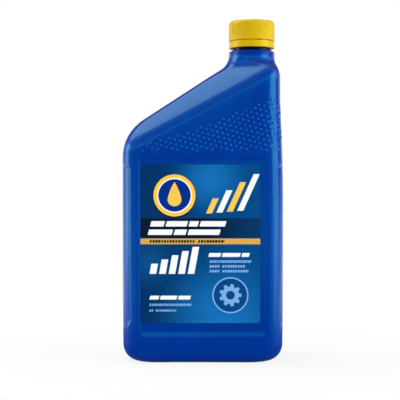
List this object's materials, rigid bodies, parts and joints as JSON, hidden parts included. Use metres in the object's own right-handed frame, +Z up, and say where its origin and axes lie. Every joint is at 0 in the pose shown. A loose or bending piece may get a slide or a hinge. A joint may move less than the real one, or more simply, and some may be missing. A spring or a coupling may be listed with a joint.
{
  "type": "motor oil bottle",
  "caption": "Flat blue plastic bottle with a long sloping shoulder, an offset neck, a printed front label and a yellow screw cap above a tamper-evident ring.",
  "frame": {"origin": "centre of the foot, on the surface that the bottle stands on", "axes": "+Z up; +X towards the side with the neck; -Y out of the face with the label"},
  "size_m": [0.1084, 0.06, 0.2317],
  "materials": {
    "bottle_plastic": "satin blue polyethylene",
    "cap_plastic": "satin yellow polypropylene",
    "label_film": "printed glossy film",
    "liner_foam": "white foamed polyethylene"
  },
  "bodies": {
    "bottle_body": {"bottle": "bottle_plastic", "tamper_band": "cap_plastic", "front_label": "label_film"},
    "liner_body": {"cap_liner": "liner_foam"},
    "cap_body": {"screw_cap": "cap_plastic"}
  },
  "joints": [
    {"name": "cap_lift", "type": "slide", "parent": "bottle_body", "child": "liner_body", "axis": [0, 0, 1], "range_m": [0, 0.00526]},
    {"name": "cap_turn", "type": "hinge", "parent": "liner_body", "child": "cap_body", "pos_m": [0.03375, 0, 0.2213], "axis": [0, 0, 1], "range_deg": [0, 450]}
  ],
  "couplings": [
    {"joint": "cap_lift", "follows": "cap_turn", "m_per_rad": 0.00066845}
  ]
}
